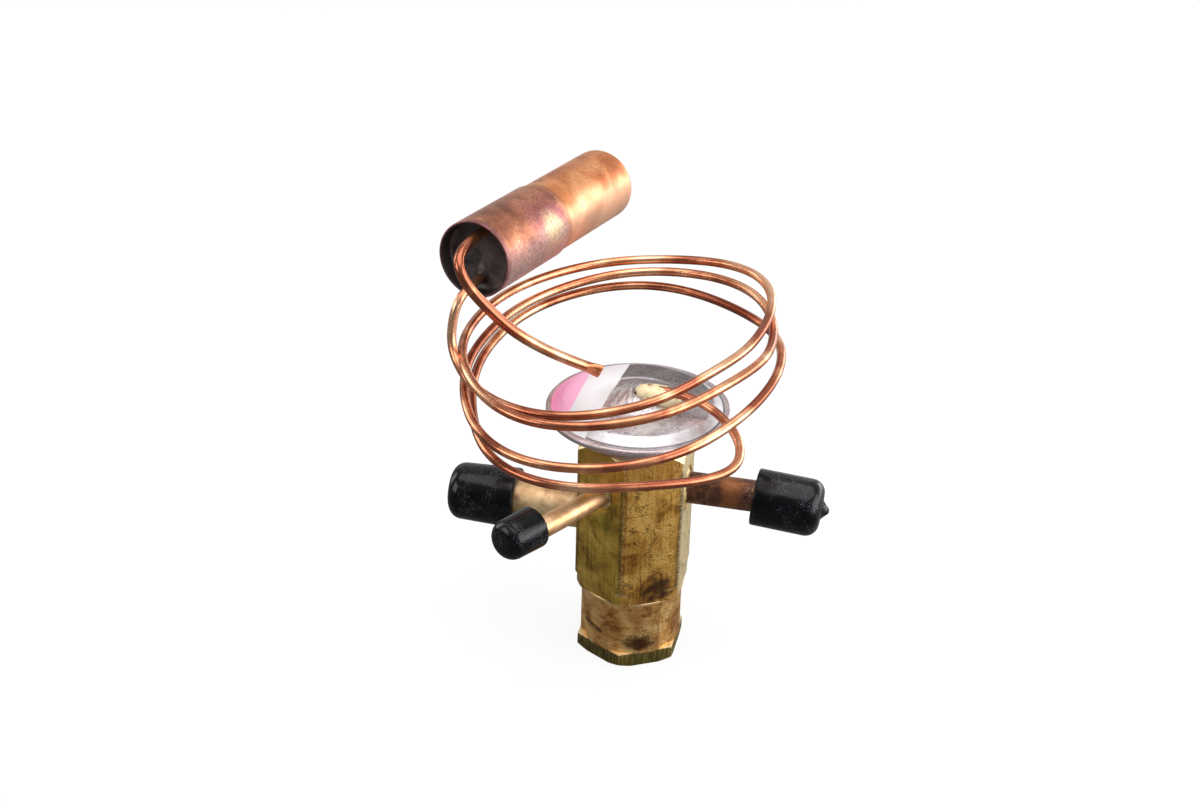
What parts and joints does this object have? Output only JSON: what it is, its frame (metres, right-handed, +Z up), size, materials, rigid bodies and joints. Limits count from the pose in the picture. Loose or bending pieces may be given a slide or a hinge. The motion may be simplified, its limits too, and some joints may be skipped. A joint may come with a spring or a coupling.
{
  "type": "thermostatic expansion valve",
  "caption": "Refrigeration expansion valve: hexagonal brass body on a seal cap, round diaphragm head, capped copper stubs, and a copper sensing bulb on a coiled capillary.",
  "frame": {"origin": "centre of the seal cap's bottom face, on the valve's upright axis", "axes": "+Z up the valve's axis to the power head; +X out along the inlet stub; -X along the outlet stub"},
  "size_m": [0.1173, 0.1259, 0.1388],
  "materials": {
    "valve_brass": "aged, streaked brown patina",
    "seal_cap_brass": "aged, pinkish brown patina",
    "copper": "bright drawn copper",
    "oxidised_copper": "dark oxidised copper",
    "heat_tinted_copper": "copper with purple heat tint",
    "braze": "silver braze",
    "solder": "silver solder",
    "stainless": "pressed stainless sheet",
    "spring_steel": "plain steel",
    "vinyl": "glossy black",
    "packing": "off-white PTFE",
    "label": "white and pink foil-backed paper"
  },
  "bodies": {
    "valve": {"valve_body": "valve_brass", "valve_seat": "spring_steel", "rod_seal_1": "packing", "rod_seal_2": "packing", "inlet_stub": "oxidised_copper", "outlet_stub": "copper", "equalizer_stub": "copper", "inlet_braze": "braze", "outlet_braze": "braze", "equalizer_braze": "braze", "packing_nut": "valve_brass", "stem_packing": "packing", "lower_head_case": "stainless", "upper_head_case": "stainless", "diaphragm": "stainless", "rim_weld": "stainless", "name_label": "label", "bulb_shell": "copper", "bulb_sleeve": "heat_tinted_copper", "bulb_end_cup": "oxidised_copper", "capillary_tube": "copper", "charging_tube": "copper", "head_braze": "solder"},
    "pin_group": {"pin_carrier": "valve_brass", "valve_pin": "spring_steel", "push_rod_1": "spring_steel", "push_rod_2": "spring_steel", "buffer_plate": "spring_steel"},
    "spring_group": {"spring_plate": "valve_brass", "superheat_spring": "spring_steel"},
    "stem": {"adjusting_stem": "spring_steel"},
    "bottom_cap": {"seal_cap": "seal_cap_brass", "seal_cap_gasket": "packing"},
    "inlet_cover": {"inlet_cap": "vinyl"},
    "outlet_cover": {"outlet_cap": "vinyl"},
    "equalizer_cover": {"equalizer_cap": "vinyl"}
  },
  "joints": [
    {"name": "pin_slide", "type": "slide", "parent": "valve", "child": "pin_group", "axis": [0, 0, -1], "range_m": [0, 0.0008], "stiffness_N_per_m": 10000, "springref_m": -0.003, "deforming": ["superheat_spring"]},
    {"name": "stem_turn", "type": "hinge", "parent": "valve", "child": "stem", "pos_m": [0, 0, 0.02], "axis": [0, 0, 1], "range_deg": [-1085, 1085]},
    {"name": "plate_travel", "type": "slide", "parent": "valve", "child": "spring_group", "axis": [0, 0, 1], "range_m": [-0.003, 0.003], "deforming": ["superheat_spring"]},
    {"name": "seal_cap_off", "type": "slide", "parent": "valve", "child": "bottom_cap", "axis": [0, 0, -1], "range_m": [0, 0.03]},
    {"name": "inlet_cap_pull", "type": "slide", "parent": "valve", "child": "inlet_cover", "axis": [1, 0, 0], "range_m": [0, 0.045]},
    {"name": "outlet_cap_pull", "type": "slide", "parent": "valve", "child": "outlet_cover", "axis": [-1, 0, 0], "range_m": [0, 0.045]},
    {"name": "equalizer_cap_pull", "type": "slide", "parent": "valve", "child": "equalizer_cover", "axis": [-0.5, -0.866, 0], "range_m": [0, 0.045]}
  ],
  "couplings": [
    {"joint": "stem_turn", "follows": "plate_travel", "rad_per_m": 6283.2}
  ]
}
